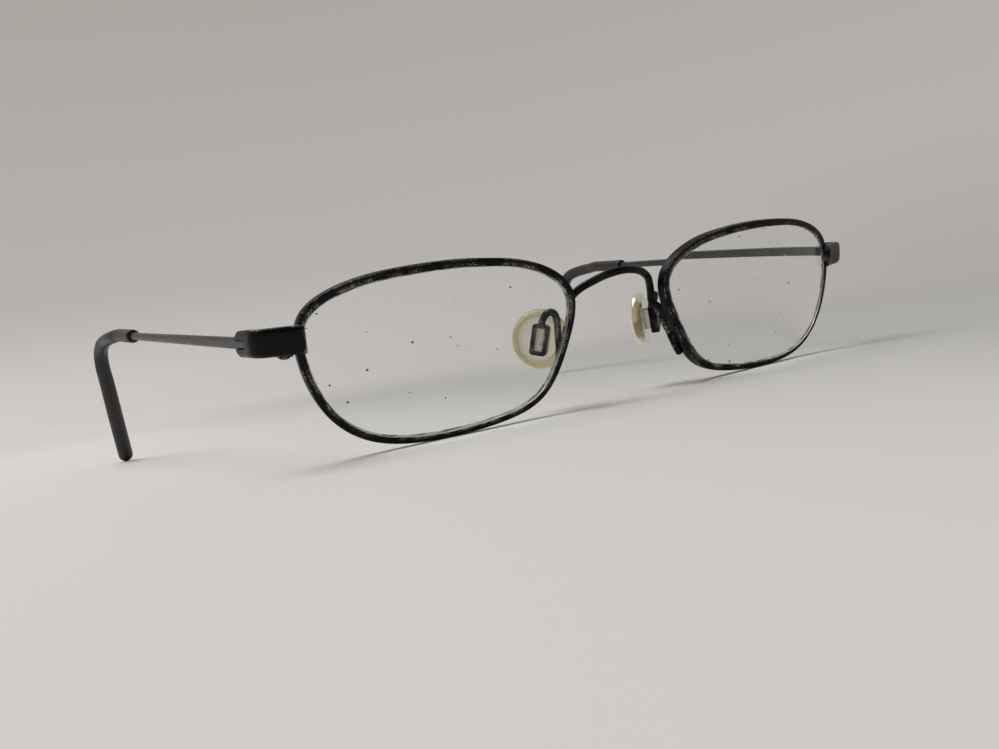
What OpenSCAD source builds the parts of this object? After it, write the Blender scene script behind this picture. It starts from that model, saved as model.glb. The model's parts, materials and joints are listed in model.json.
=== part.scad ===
// Full-rim metal eyeglasses, open and resting on a flat surface.
// Everything is drawn first in the frame of the lenses: X across, Y towards the ears, Z up the lenses.
// The wearer's left half is at +X. stand() then turns the whole pair into its resting pose on z = 0.
// Units are mm.

/* [Lenses and rims] */
// width of a lens inside the groove
lens_w = 46.9; // [42:0.1:52]
// height of a lens inside the groove
lens_h = 27.2; // [24:0.1:34]
// distance between the lenses
bridge_gap = 21; // [17:0.1:24]
// turn of each rim towards the temples, in degrees
rim_wrap = 5.9; // [3:0.1:10]
// base curve radius that the rims follow
base_r = 119; // [85:1:200]
// metal outside the groove
rim_out = 0.8; // [0.6:0.05:1.2]
// depth of the eyewire from front to back
rim_deep = 1.9; // [1.5:0.05:2.6]
// depth of the lens groove
groove = 0.42; // [0.3:0.02:0.6]
// front curve radius of the lens
lens_front_r = 85; // [70:1:120]
// back curve radius of the lens
lens_back_r = 124.5; // [90:0.5:200]
// lens thickness at its centre
lens_t = 2.8; // [2:0.1:3.6]

/* [Bridge] */
// diameter of the bridge wire
bridge_d = 1.4; // [1.2:0.05:2]
// height of the arch above the hinge line
bridge_top = 5.4; // [3:0.05:8]

/* [Nose pads] */
// diameter of a nose pad
pad_d = 10.4; // [8:0.1:12]
// thickness of a nose pad
pad_t = 2.6; // [2:0.1:3.4]
// diameter of the pad arm wire
arm_d = 1.3; // [0.9:0.05:1.4]
// rocking of a pad each way, in degrees
pad_rock = 8; // [3:1:12]

/* [Endpieces and hinges] */
// thickness of the endpiece plate
plate_t = 1.3; // [1:0.05:1.8]
// height of the endpiece plate at the rim
plate_h = 4.4; // [3.5:0.05:5]
// height of the endpiece plate at the hinge
butt_h = 4.35; // [3.6:0.05:5]
// radius of a hinge barrel
barrel_r = 1.25; // [1:0.05:1.6]
// radius of the hinge screw
hinge_pin_r = 0.6; // [0.4:0.05:0.8]
// radial play of the hinge screw
pin_play = 0.03; // [0.01:0.01:0.1]
// play between two hinge barrels
barrel_play = 0.06; // [0.03:0.01:0.15]

/* [Temples] */
// distance along Y from the lenses to the ear bend
ear_y = 113; // [104:0.5:122]
// drop of the tip below the hinge line
tip_drop = 46.3; // [38:0.1:54]
// height of the bar at the hinge
bar_h = 1.85; // [1.6:0.05:2.6]
// width of the bar at the hinge
bar_w = 1.0; // [0.8:0.05:1.5]
// diameter of the bar where it enters the tip
bar_end_d = 1.65; // [1.3:0.05:2]
// radius of the tip sleeve where it starts
sleeve_r = 1.5; // [1.3:0.02:2]
// radius of the tip at its end
tip_r = 1.85; // [1.6:0.05:2.6]

/* [Hidden] */
$fn = 48;

// lens outline: control points of a closed smooth curve, x towards the temple and y up,
// in halves of the lens width and height
outline = [[1.01, 0.09], [1.01, 0.67], [0.62, 0.93], [0.29, 0.99], [-0.08, 1.01], [-0.37, 0.97],
    [-0.71, 0.89], [-1.07, 0.52], [-0.93, -0.12], [-0.74, -0.8], [-0.39, -0.95], [0.09, -1.02],
    [0.58, -0.97], [0.88, -0.57]];
spans = len(outline);
steps = 7;
eye_z = -3.7;
// how far the top of the base curve lies above the middle of the lens
apex_up = 1.5;
eye_x = (lens_w + bridge_gap) / 2;

// where the rim is split, counted in spans of the outline from the temple side
split_at = 0.51;
split_gap = 0.3;

// endpiece in plan, through the middle of the plate: its end on the rim, its bend and its butt
rim_side_x = eye_x + (lens_w / 2 + rim_out) * cos(rim_wrap) - 0.2;
rim_front_y = rim_at(split_at, 0, -rim_deep / 2)[1];
plate_in = [rim_side_x - 1.36, rim_front_y - 1.065];
plate_z = 1.4;
bend_c = [rim_side_x + 2.68, rim_front_y + 3.8856];
bend_r = 2.95;
bend_from = -66.8;
bend_to = -10.5;
butt_y = rim_front_y + 3.5956;
butt_x = rim_side_x + 5.61;
butt_z = 1.15;
butt_gap = 0.06;
tail_y = butt_y + 5.87;
tail_x = butt_x + 0.4;
tail_z = 0.47;
tail_h = butt_h - 0.2;
// slot of the paddle and tenon of the bar
slot_at = [tail_x, tail_y + 0.02, tail_z];
slot_way = [0.28, 4, -0.38];
slot_run = 4.1;

// hinge axis
hinge_x = butt_x - plate_t / 2 - barrel_r - 0.05;
hinge_y = butt_y;
hinge_z = 0.85;
mid_barrel_h = 1.3;
end_barrel_h = 0.95;
leaf_t = 0.7;

// closing block of the rim, in the corner between the rim and the endpiece
lock_w = 2.2;
lock_x = rim_side_x + 0.05 + lock_w / 2;
lock_y = rim_front_y + 2.5656;
lock_z = 1.2;
lock_deep = 1.95;
lock_h = 1.75;
lock_low = 2.65;
lock_pin_r = 0.5;

// temple route: bar, sleeve and drop
bar_y0 = tail_y + 0.06;
sleeve_run = 25.5;
sleeve_y = ear_y - sleeve_run;
tip_straight = 12.4;
ear_z = -9.95;

// middle of the bridge wire
bridge_mid = [0, -2.07, bridge_top];

// nose pad mount, drawn for this gap between the lenses: middle of the box, direction to the nose,
// and long direction
gap_drawn = 21;
pad_shift = (bridge_gap - gap_drawn) / 2;
box_x = 13.56;
box_c = [box_x + pad_shift, 6.86, -5.9];
pad_n = unit([-0.68, 0.726, -0.1]);
pad_u = unit(cross(cross(pad_n, [-0.2, -0.06, 1]), pad_n));
pad_v = cross(pad_n, pad_u);
box_w = 3.0;
box_l = 5.4;
box_bar = 0.7;
box_deep = 1.5;
pad_off = 2.9;
pad_back = 0.4;
pad_down = 0.15;
plug_w = 2.6;
plug_l = 4.6;
nib_r = 0.35;
nib_play = 0.03;

// small vector helpers
function unit(a) = a / norm(a);
function mix(a, b, t) = a + (b - a) * t;
function at(list, i) = list[(i + len(list)) % len(list)];

// closed smooth curve through the pull of four control points
function pull(t) = [pow(1 - t, 3) / 6, (3 * t * t * t - 6 * t * t + 4) / 6,
    (-3 * t * t * t + 3 * t * t + 3 * t + 1) / 6, t * t * t / 6];
function lean(t) = [-pow(1 - t, 2) / 2, (9 * t * t - 12 * t) / 6, (-9 * t * t + 6 * t + 3) / 6, t * t / 2];
function four(i, w) = at(outline, i - 1) * w[0] + at(outline, i) * w[1] + at(outline, i + 1) * w[2]
    + at(outline, i + 2) * w[3];
function scaled(p) = [p[0] * lens_w / 2, p[1] * lens_h / 2];
function edge(s) = let (i = floor(s)) scaled(four(i + spans, pull(s - i)));
function edge_way(s) = let (i = floor(s)) unit(scaled(four(i + spans, lean(s - i))));
function edge_out(s) = let (t = edge_way(s)) [t[1], -t[0]];

// point of one eye in space: across, up, and distance behind the base curve
function base_sag(p) = base_r - sqrt(base_r * base_r - p[0] * p[0] - pow(p[1] - apex_up, 2));
function eye(u, v, y) = [eye_x + u * cos(rim_wrap) - y * sin(rim_wrap), u * sin(rim_wrap) + y * cos(rim_wrap),
    eye_z + v];
// point on the rim's cross-section at s: out of the groove floor, and behind the groove
function rim_at(s, out, deep) = let (p = edge(s), q = p + edge_out(s) * out) eye(q[0], q[1], base_sag(p) + deep);

// open smooth curve through given points: a point at t of the run from b to c
function through(a, b, c, d, t) = (2 * b + (c - a) * t + (2 * a - 5 * b + 4 * c - d) * t * t
    + (3 * b - a - 3 * c + d) * t * t * t) / 2;
function route(p, n) = let (m = len(p) - 1) concat([for (i = [0 : m - 1], k = [0 : n - 1])
    through(i == 0 ? 2 * p[0] - p[1] : p[i - 1], p[i], p[i + 1], i == m - 1 ? 2 * p[m] - p[m - 1] : p[i + 2],
    k / n)], [p[m]]);
function way(p, i) = unit(p[min(i + 1, len(p) - 1)] - p[max(i - 1, 0)]);

// ring of points round p, square to the way w, with half sizes a (sideways) and b (towards up)
function ring(p, w, up, a, b, n) = let (side = unit(cross(up, w)), top = cross(w, side))
    [for (k = [0 : n - 1]) p + side * a * cos(360 * k / n) + top * b * sin(360 * k / n)];

// skin over equal rings, closed into a loop or capped at both ends
module skin(rings, loop = false) {
    n = len(rings);
    m = len(rings[0]);
    last = loop ? n - 1 : n - 2;
    sides = [for (i = [0 : last], j = [0 : m - 1])
        let (k = (j + 1) % m, o = ((i + 1) % n) * m, a = i * m + j, b = i * m + k, c = o + k, d = o + j)
        each [[a, c, b], [a, d, c]]];
    e = (n - 1) * m;
    caps = loop ? [] : [for (j = [1 : m - 2]) each [[0, j, j + 1], [e, e + j + 1, e + j]]];
    polyhedron(points = [for (r = rings) each r], faces = concat(sides, caps), convexity = 6);
}

// tube along a route; r is one radius or a list of them
module tube(p, r, up, n = 10) {
    skin([for (i = [0 : len(p) - 1]) let (q = is_list(r) ? r[i] : r) ring(p[i], way(p, i), up, q, q, n)]);
}

// frame at a point with z along w and y near up
module aim(p, w, up) {
    z = unit(w);
    x = unit(cross(up, z));
    y = cross(z, x);
    multmatrix([for (k = [0 : 2]) [x[k], y[k], z[k], p[k]]]) children();
}

// resting pose: the rims' lower edges and the two tip ends on one plane
tip_end = [68, ear_y + 19.9, -tip_drop + tip_r];
low_rim = [for (i = [0 : spans * 4 - 1]) each [rim_at(i / 4, rim_out, -0.62), rim_at(i / 4, rim_out, 0.62)]];
low_i = search(min([for (q = low_rim) q[2]]), [for (q = low_rim) q[2]])[0];
low_p = low_rim[low_i];
rise = [tip_end[1] - low_p[1], tip_end[2] - low_p[2]];
tilt = asin(tip_r / norm(rise)) - atan2(rise[1], rise[0]);
function turned_y(p) = p[1] * cos(tilt) - p[2] * sin(tilt);
function turned_z(p) = p[1] * sin(tilt) + p[2] * cos(tilt);
stand_z = -min([for (q = low_rim) turned_z(q)]);
front_y = min(turned_y(bridge_mid) - bridge_d / 2, min([for (q = low_rim) turned_y(q)]));
back_y = turned_y(tip_end) + tip_r;
stand_y = -(front_y + back_y) / 2;

module stand() {
    translate([0, stand_y, stand_z]) rotate([tilt, 0, 0]) children();
}

// the wearer's left half as drawn, or its mirror image
module half(left) {
    stand() if (left) children(); else mirror([1, 0, 0]) children();
}

// eyewire: grooved strip bent round the lens, split at the closing block
rim_section = [[0.04, 0], [-groove, -groove], [-groove, -rim_deep / 2], [rim_out - 0.35, -rim_deep / 2],
    [rim_out, -rim_deep / 2 + 0.35], [rim_out, rim_deep / 2 - 0.35], [rim_out - 0.35, rim_deep / 2],
    [-groove, rim_deep / 2], [-groove, groove]];
module rim() {
    cut = split_gap / 2 / norm(edge(split_at + 0.5) - edge(split_at - 0.5));
    run = spans - 2 * cut;
    n = spans * steps;
    skin([for (i = [0 : n]) let (s = split_at + cut + run * i / n)
        [for (c = rim_section) rim_at(s, c[0], c[1])]]);
}

// lens: bevelled edge in the groove, strong curve in front, weak curve behind
lens_front_y = -1.85;
function front_y_at(q) = lens_front_y + lens_front_r - sqrt(lens_front_r * lens_front_r - q * q);
function back_y_at(q) = lens_front_y + lens_t + lens_back_r - sqrt(lens_back_r * lens_back_r - q * q);
function lens_edge(s, out, deep) = let (p = edge(s), q = p + edge_out(s) * out)
    [q[0], q[1], base_sag(p) + deep];
function lens_face(s, k, back) = let (q = (edge(s) - edge_out(s) * (groove + 0.05)) * k, r = norm(q))
    [q[0], q[1], back ? back_y_at(r) : front_y_at(r)];
module lens() {
    n = spans * steps;
    bevel = 0.38;
    faces_k = [0.03, 0.25, 0.5, 0.75, 0.92, 1];
    front = [for (k = faces_k) [for (i = [0 : n - 1]) lens_face(i / steps, k, false)]];
    apex = [[for (i = [0 : n - 1]) lens_edge(i / steps, -groove - 0.05, -bevel)],
        [for (i = [0 : n - 1]) lens_edge(i / steps, -0.04, 0)],
        [for (i = [0 : n - 1]) lens_edge(i / steps, -groove - 0.05, bevel)]];
    back = [for (j = [len(faces_k) - 1 : -1 : 0])
        [for (i = [0 : n - 1]) lens_face(i / steps, faces_k[j], true)]];
    skin([for (r = concat(front, apex, back)) [for (i = [n - 1 : -1 : 0]) eye(r[i][0], r[i][1], r[i][2])]]);
}

// bridge: one arched round wire, its ends brazed behind the nasal sides of the rims
bridge_half = [[2.15, -1.87, 0.2], [4.15, -1.28, 0.72], [5.95, -0.37, 1.56], [7.5, 0.75, 2.55],
    [8.6, 1.72, 3.85], [9.1, 2.1, 5.5], [9.45, 2.3, 7.2]];
bridge_foot = [for (s = [7.76, 7.94]) rim_at(s, 0.3, rim_deep / 2 + bridge_d / 2 - 0.04)];
module bridge() {
    arch = [for (q = bridge_half) [q[0] * bridge_gap / gap_drawn, q[1], bridge_top - q[2]]];
    left = concat(arch, bridge_foot);
    p = route(concat([for (i = [len(left) - 1 : -1 : 0]) [-left[i][0], left[i][1], left[i][2]]],
        [bridge_mid], left), 4);
    tube(p, bridge_d / 2, [0, -1, 0.3], 12);
}

// endpiece: crowned plate bent round the corner
function plate_ring(p, w, h) = let (o = unit([w[1], -w[0], 0]), a = plate_t / 2, b = h / 2)
    [for (c = [[-a, b], [a - 0.4, b], [a - 0.05, b - 0.55], [a + 0.05, 0], [a - 0.05, -b + 0.55], [a - 0.4, -b],
    [-a, -b]]) [p[0], p[1], p[2]] + o * c[0] + [0, 0, c[1]]];
module endpiece_plate() {
    arc = [for (k = [0 : 8]) let (a = mix(bend_from, bend_to, k / 8)) bend_c + bend_r * [cos(a), sin(a)]];
    plan = concat([plate_in], arc, [[butt_x, butt_y - butt_gap / 2]]);
    run = len(plan) - 1;
    skin([for (i = [0 : run]) let (t = (plan[i][1] - plate_in[1]) / (butt_y - plate_in[1]),
        a = max(0, i - 1), b = min(i + 1, run),
        w = i == run ? [0, 1, 0] : unit([plan[b][0] - plan[a][0], plan[b][1] - plan[a][1], 0]))
        plate_ring([plan[i][0], plan[i][1], mix(plate_z, butt_z, t)], w, mix(plate_h, butt_h, t))]);
}

// rear plate of the hinge, with rounded corners and a slot for the bar
module paddle_plate() {
    y = [butt_y + butt_gap / 2, tail_y - 2.4, tail_y - 0.85, tail_y - 0.4, tail_y - 0.13, tail_y];
    cut = [0, 0, 0.05, 0.25, 0.5, 0.85];
    difference() {
        skin([for (i = [0 : len(y) - 1]) let (t = (y[i] - butt_y) / (tail_y - butt_y))
            plate_ring([mix(butt_x, tail_x, t), y[i], mix(butt_z, tail_z, t)], [0, 1, 0],
            mix(butt_h, tail_h, t) - cut[i])]);
        aim(slot_at, slot_way, [0, 0, 1])
            translate([-2, -0.75, -slot_run]) cube([4, 1.5, slot_run + 1]);
    }
}

// three barrels on one upright axis: the front carries the middle one
module barrel(z, h, bore) {
    translate([hinge_x, hinge_y, hinge_z + z]) difference() {
        cylinder(r = barrel_r, h = h);
        translate([0, 0, -1]) cylinder(r = bore, h = h + 2);
    }
}
mid_z = -mid_barrel_h / 2;
top_z = mid_barrel_h / 2 + barrel_play;
low_z = -mid_barrel_h / 2 - barrel_play - end_barrel_h;
stack_h = mid_barrel_h + 2 * barrel_play + 2 * end_barrel_h;
module leaf(dir) {
    y0 = dir > 0 ? hinge_y + 0.15 : hinge_y - 3.2;
    translate([hinge_x, y0, hinge_z - stack_h / 2])
        cube([butt_x - plate_t / 2 - hinge_x - (dir > 0 ? 0 : 0.1), 3.05, stack_h]);
}
module clear_round(z, h) {
    translate([hinge_x, hinge_y, hinge_z + z - 0.01]) cylinder(r = barrel_r + 0.08, h = h + 0.02);
}
module hinge_front_solid() {
    difference() {
        union() {
            barrel(mid_z, mid_barrel_h, hinge_pin_r + pin_play);
            intersection() {
                leaf(-1);
                translate([bend_c[0], bend_c[1], hinge_z - stack_h])
                    cylinder(r = bend_r - plate_t / 2 - 0.03, h = 2 * stack_h, $fn = 96);
            }
        }
        clear_round(top_z - barrel_play, end_barrel_h + barrel_play + 1);
        clear_round(low_z - 1, end_barrel_h + barrel_play + 1);
        translate([hinge_x, hinge_y, hinge_z - 5]) cylinder(r = hinge_pin_r + pin_play, h = 10);
    }
}
module hinge_rear_solid() {
    difference() {
        union() {
            barrel(top_z, end_barrel_h, hinge_pin_r);
            barrel(low_z, end_barrel_h, hinge_pin_r);
            difference() {
                leaf(1);
                translate([hinge_x - 0.01, hinge_y + 1.3, hinge_z - stack_h])
                    cube([butt_x - plate_t / 2 - hinge_x - leaf_t, 2.05, 2 * stack_h]);
            }
        }
        clear_round(mid_z - barrel_play, mid_barrel_h + 2 * barrel_play - 0.01);
        translate([hinge_x, hinge_y, hinge_z - 5]) cylinder(r = hinge_pin_r, h = 10);
    }
}
module hinge_pin() {
    translate([hinge_x, hinge_y, hinge_z]) difference() {
        union() {
            translate([0, 0, low_z - 0.1]) cylinder(r = hinge_pin_r, h = stack_h + 0.1);
            translate([0, 0, stack_h / 2]) cylinder(r = 0.95, h = 0.2);
            translate([0, 0, stack_h / 2 + 0.2]) cylinder(r1 = 0.95, r2 = 0.75, h = 0.12);
        }
        translate([-1, -0.13, stack_h / 2 + 0.12]) cube([2, 0.26, 1]);
    }
}

// closing block: two halves on the ends of the split rim, drawn together by a screw from below
module lock_half(z) {
    translate([lock_x - lock_w / 2, lock_y - lock_deep / 2, z])
        cube([lock_w, lock_deep, (z < lock_z ? lock_low : lock_h) - 0.12]);
}
module lock_upper_solid() {
    difference() {
        lock_half(lock_z + 0.12);
        translate([lock_x, lock_y, lock_z - 1]) cylinder(r = lock_pin_r, h = 1 + 1.6);
    }
}
module lock_lower_solid() {
    difference() {
        lock_half(lock_z - lock_low);
        translate([lock_x, lock_y, lock_z - lock_low - 1]) cylinder(r = lock_pin_r + 0.04, h = lock_low + 2);
    }
}
module lock_pin() {
    translate([lock_x, lock_y, lock_z - lock_low]) difference() {
        union() {
            cylinder(r = lock_pin_r, h = lock_low + 1.5);
            translate([0, 0, -0.2]) cylinder(r = 0.85, h = 0.2);
            translate([0, 0, -0.35]) cylinder(r1 = 0.65, r2 = 0.85, h = 0.15);
        }
        translate([-1, -0.12, -1]) cube([2, 0.24, 0.82]);
    }
}

// temple bar: flat at the hinge, round where it enters the tip
tip_start = [68.08, sleeve_y, ear_z + 3.5];
bar_start = [tail_x, bar_y0, tail_z + 0.12];
bar_way = unit(tip_start - bar_start);
bar_route = [bar_start, mix(bar_start, tip_start, 0.33), mix(bar_start, tip_start, 0.67), tip_start,
    tip_start + bar_way * 14];
module bar_solid() {
    p = route(bar_route, 3);
    n = len(p);
    end = bar_end_d / 2;
    skin([for (i = [0 : n - 1]) let (t = min(1, i / (n - 4)))
        ring(p[i], way(p, i), [0, 0, 1], mix(bar_w / 2, end, t), mix(bar_h / 2, end, t), 12)]);
    aim(slot_at, slot_way, [0, 0, 1])
        translate([-bar_w / 2, -0.68, -slot_run + 0.1]) cube([bar_w, 1.36, slot_run + 0.2]);
}

// tip: sleeve over the bar, bend behind the ear, straight end
tip_low = tip_end + unit([0.115, -0.33, 0.94]) * 12;
tip_route = [tip_start, tip_start + bar_way * 7, tip_start + bar_way * 14.5, [69.95, ear_y - 7, ear_z + 1.35],
    [70.4, ear_y + 0.5, ear_z - 0.2], [70.9, ear_y + 6.3, ear_z - 2.1], [71.2, ear_y + 9.7, ear_z - 5],
    [71.1, ear_y + 11, ear_z - 8.7], [70.55, ear_y + 12.4, ear_z - 13], tip_low];
module tip_solid() {
    p = route(tip_route, 4);
    n = len(p);
    r = [for (i = [0 : n - 1]) i == 0 ? sleeve_r - 0.12 :
        mix(sleeve_r, tip_r - 0.03, pow(max(0, i - 12) / (n - 13), 3))];
    difference() {
        tube(p, r, [1, 0, 0.1], 12);
        aim(tip_start, bar_way, [0, 0, 1]) translate([0, 0, -1]) cylinder(r = bar_end_d / 2 + 0.02, h = 15.2);
    }
    aim(tip_end, tip_low - tip_end, [0, 1, 0]) {
        cylinder(r = tip_r, h = tip_straight);
        translate([0, 0, tip_straight]) cylinder(r1 = tip_r, r2 = tip_r - 0.1, h = 0.5);
    }
    translate(tip_end) sphere(r = tip_r);
}

// pad arm: foot brazed along the rim, loop forward of the pad, down into the box
module arm_solid() {
    foot = [for (s = [8.68, 8.5, 8.32]) rim_at(s, rim_out + 0.15, rim_deep / 2 + 0.3)];
    d = [pad_shift, 0, 0];
    p = route(concat(foot, [[12.8, 1.7, -7.9] + d, [12.45, 2.1, -6.86] + d, [12.1, 2.8, -5.42] + d,
        [11.7, 3.5, -3.79] + d, [11.42, 4.05, -2.47] + d, [11.63, 4.4, -1.41] + d, [12.14, 4.75, -1.06] + d,
        [12.7, 5.32, -1.31] + d, [13.0, 5.85, -1.98] + d, box_c + pad_u * (box_l / 2 + 0.5),
        box_c + pad_u * (box_l / 2 - 0.03)]), 3);
    tube(p, arm_d / 2, pad_n, 9);
}

// box at the end of the pad arm
module in_box() {
    aim(box_c, pad_n, pad_u) children();
}
module rounded(w, l, r, h) {
    linear_extrude(height = h) union() {
        square([w - 2 * r, l], center = true);
        square([w, l - 2 * r], center = true);
        for (x = [-1, 1], y = [-1, 1]) translate([x * (w / 2 - r), y * (l / 2 - r)]) circle(r = r);
    }
}
module box_solid() {
    in_box() difference() {
        translate([0, 0, -box_deep / 2]) rounded(box_w, box_l, 0.6, box_deep);
        translate([0, 0, -box_deep]) linear_extrude(height = 2 * box_deep)
            square([box_w - 2 * box_bar, box_l - 2 * box_bar], center = true);
        rotate([90, 0, 0]) translate([0, 0, -box_l / 2 + 0.12])
            cylinder(r = nib_r + nib_play, h = box_l - 0.24);
    }
}

// stem: moulded plug with two nibs in the box and a plate inside the pad
stem_w = 2 * (box_w / 2 - box_bar - 0.1 - box_deep / 2 * sin(pad_rock)) / cos(pad_rock);
stem_l = box_l - 2 * box_bar - 0.2;
module stem_solid() {
    in_box() {
        rotate([90, 0, 0]) translate([0, 0, -box_l / 2 + 0.25]) cylinder(r = nib_r, h = box_l - 0.5);
        translate([-stem_w / 2, -stem_l / 2, -box_deep / 2 + 0.1]) cube([stem_w, stem_l, pad_off - 0.3]);
        translate([0, 0, pad_off - 1]) rounded(plug_w, plug_l, 0.5, 0.7);
    }
}

// pad: soft round disc, crowned towards the nose, dished at the back
module pad_solid() {
    r = pad_d / 2;
    a = pad_t / 2;
    in_box() translate([0, 0, pad_off]) difference() {
        translate([-pad_back, -pad_down, 0]) rotate_extrude()
            polygon([[0, -a + 0.25], [r - 1.5, -a + 0.15], [r - 1.0, -a], [r - 0.55, -a + 0.08],
            [r - 0.2, -a + 0.4], [r, -0.35], [r - 0.03, 0.15], [r - 0.25, a - 0.65], [r - 0.8, a - 0.3],
            [r - 1.8, a - 0.1], [0, a]]);
        translate([0, 0, -1.02]) rounded(plug_w + 0.04, plug_l + 0.04, 0.52, 0.74);
        translate([-stem_w / 2 - 0.02, -stem_l / 2 - 0.02, -a - 1]) cube([stem_w + 0.04, stem_l + 0.04, 1.9]);
    }
}

black = [0.07, 0.07, 0.08];
steel = [0.35, 0.35, 0.36];
clear = [0.85, 0.87, 0.88];
amber = [0.85, 0.8, 0.62];

module bridge_wire() { color(black) stand() bridge(); }
module left_rim() { color(black) half(true) rim(); }
module right_rim() { color(black) half(false) rim(); }
module left_lens() { color(clear) half(true) lens(); }
module right_lens() { color(clear) half(false) lens(); }
module left_lock_upper() { color(black) half(true) lock_upper_solid(); }
module right_lock_upper() { color(black) half(false) lock_upper_solid(); }
module left_lock_lower() { color(black) half(true) lock_lower_solid(); }
module right_lock_lower() { color(black) half(false) lock_lower_solid(); }
module left_lock_screw() { color(steel) half(true) lock_pin(); }
module right_lock_screw() { color(steel) half(false) lock_pin(); }
module left_endpiece() { color(black) half(true) endpiece_plate(); }
module right_endpiece() { color(black) half(false) endpiece_plate(); }
module left_hinge_front() { color(black) half(true) hinge_front_solid(); }
module right_hinge_front() { color(black) half(false) hinge_front_solid(); }
module left_hinge_rear() { color(black) half(true) hinge_rear_solid(); }
module right_hinge_rear() { color(black) half(false) hinge_rear_solid(); }
module left_hinge_screw() { color(steel) half(true) hinge_pin(); }
module right_hinge_screw() { color(steel) half(false) hinge_pin(); }
module left_temple_paddle() { color(black) half(true) paddle_plate(); }
module right_temple_paddle() { color(black) half(false) paddle_plate(); }
module left_temple_bar() { color(black) half(true) bar_solid(); }
module right_temple_bar() { color(black) half(false) bar_solid(); }
module left_temple_tip() { color(black) half(true) tip_solid(); }
module right_temple_tip() { color(black) half(false) tip_solid(); }
module left_pad_arm() { color(black) half(true) arm_solid(); }
module right_pad_arm() { color(black) half(false) arm_solid(); }
module left_pad_box() { color(black) half(true) box_solid(); }
module right_pad_box() { color(black) half(false) box_solid(); }
module left_pad_stem() { color(amber) half(true) stem_solid(); }
module right_pad_stem() { color(amber) half(false) stem_solid(); }
module left_nose_pad() { color(amber) half(true) pad_solid(); }
module right_nose_pad() { color(amber) half(false) pad_solid(); }

bridge_wire();
left_rim();
right_rim();
left_lens();
right_lens();
left_lock_upper();
right_lock_upper();
left_lock_lower();
right_lock_lower();
left_lock_screw();
right_lock_screw();
left_endpiece();
right_endpiece();
left_hinge_front();
right_hinge_front();
left_hinge_rear();
right_hinge_rear();
left_hinge_screw();
right_hinge_screw();
left_temple_paddle();
right_temple_paddle();
left_temple_bar();
right_temple_bar();
left_temple_tip();
right_temple_tip();
left_pad_arm();
right_pad_arm();
left_pad_box();
right_pad_box();
left_pad_stem();
right_pad_stem();
left_nose_pad();
right_nose_pad();
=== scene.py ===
# %% [markdown]
# # Black wire-rim glasses on a pale table
# A pair of metal glasses is a small kit: two grooved rims closed by screws, a bent bridge wire, two
# endpieces, two hinges, two temples with plastic tips and two soft pads on wire arms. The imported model
# brings each of them as a plain solid, with its bodies and joints. This lesson swaps every solid for a
# finished piece at the same place and size, and gives it the surface that the real one has.

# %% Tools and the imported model
import json
import math

import bmesh
import bpy
from mathutils import Matrix, Vector


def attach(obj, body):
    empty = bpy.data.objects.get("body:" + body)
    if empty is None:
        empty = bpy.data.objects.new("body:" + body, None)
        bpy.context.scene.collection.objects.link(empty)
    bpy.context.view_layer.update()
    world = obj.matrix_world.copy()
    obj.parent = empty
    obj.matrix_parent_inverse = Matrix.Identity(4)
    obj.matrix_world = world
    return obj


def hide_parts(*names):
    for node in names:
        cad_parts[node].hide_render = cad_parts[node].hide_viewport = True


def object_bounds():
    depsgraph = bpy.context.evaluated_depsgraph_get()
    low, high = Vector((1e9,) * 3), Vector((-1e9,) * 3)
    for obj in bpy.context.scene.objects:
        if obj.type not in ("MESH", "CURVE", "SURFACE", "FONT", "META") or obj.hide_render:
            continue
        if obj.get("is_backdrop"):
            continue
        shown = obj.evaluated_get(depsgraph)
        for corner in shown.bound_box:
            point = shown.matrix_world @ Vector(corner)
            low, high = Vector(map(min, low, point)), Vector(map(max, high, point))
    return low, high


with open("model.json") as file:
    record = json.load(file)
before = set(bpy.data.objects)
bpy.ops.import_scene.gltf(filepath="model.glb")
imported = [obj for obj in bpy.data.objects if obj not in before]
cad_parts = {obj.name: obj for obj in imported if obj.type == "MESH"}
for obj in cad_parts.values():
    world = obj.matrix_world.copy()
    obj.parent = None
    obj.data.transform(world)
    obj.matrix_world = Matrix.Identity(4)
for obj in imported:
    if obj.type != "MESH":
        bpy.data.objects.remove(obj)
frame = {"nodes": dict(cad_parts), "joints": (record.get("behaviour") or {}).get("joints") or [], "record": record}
cad_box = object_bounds()

# %% [markdown]
# ## One drawing, two halves
# The glasses are drawn upright, with X across, Y towards the ears and Z up the lenses, in millimetres.
# They could be drawn where they stand, but every number would then hide a tilt of twelve degrees. So
# each point is drawn upright first and then stood up, and the right half is the left one mirrored.
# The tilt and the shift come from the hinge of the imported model, so they follow it when it changes.

# %% The drawing's frame
MM = 0.001
BRIDGE_GAP = 21.0
LENS_W = 46.9
LENS_H = 27.2
RIM_WRAP = math.radians(5.9)
BASE_R = 119.0
RIM_OUT = 0.8
RIM_DEEP = 1.9
GROOVE = 0.42
PLATE_T = 1.3
BARREL_R = 1.25
SIDES = ("left", "right")

EYE_X = (LENS_W + BRIDGE_GAP) / 2
EYE_Z = -3.7
RIM_SIDE_X = EYE_X + (LENS_W / 2 + RIM_OUT) * math.cos(RIM_WRAP) - 0.2
BUTT_X = RIM_SIDE_X + 5.61
BUTT_Y = 7.43
HINGE = Vector((BUTT_X - PLATE_T / 2 - BARREL_R - 0.05, BUTT_Y, 0.85))

fold = next(j for j in frame["joints"] if j["name"] == "left_temple_fold")
TILT = math.atan2(-fold["axis"][1], fold["axis"][2])
STAND = Matrix.Rotation(TILT, 4, "X")
shift = Vector(fold["pos_m"]) / MM - STAND @ HINGE
STAND.translation = Vector((0, shift.y, shift.z))


def placed(point, left=True):
    x = point[0] if left else -point[0]
    return (STAND @ Vector((x, point[1], point[2]))) * MM


print("tilt", round(math.degrees(TILT), 2), "degrees, hinge misses by", round(shift.x, 4), "mm")

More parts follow.
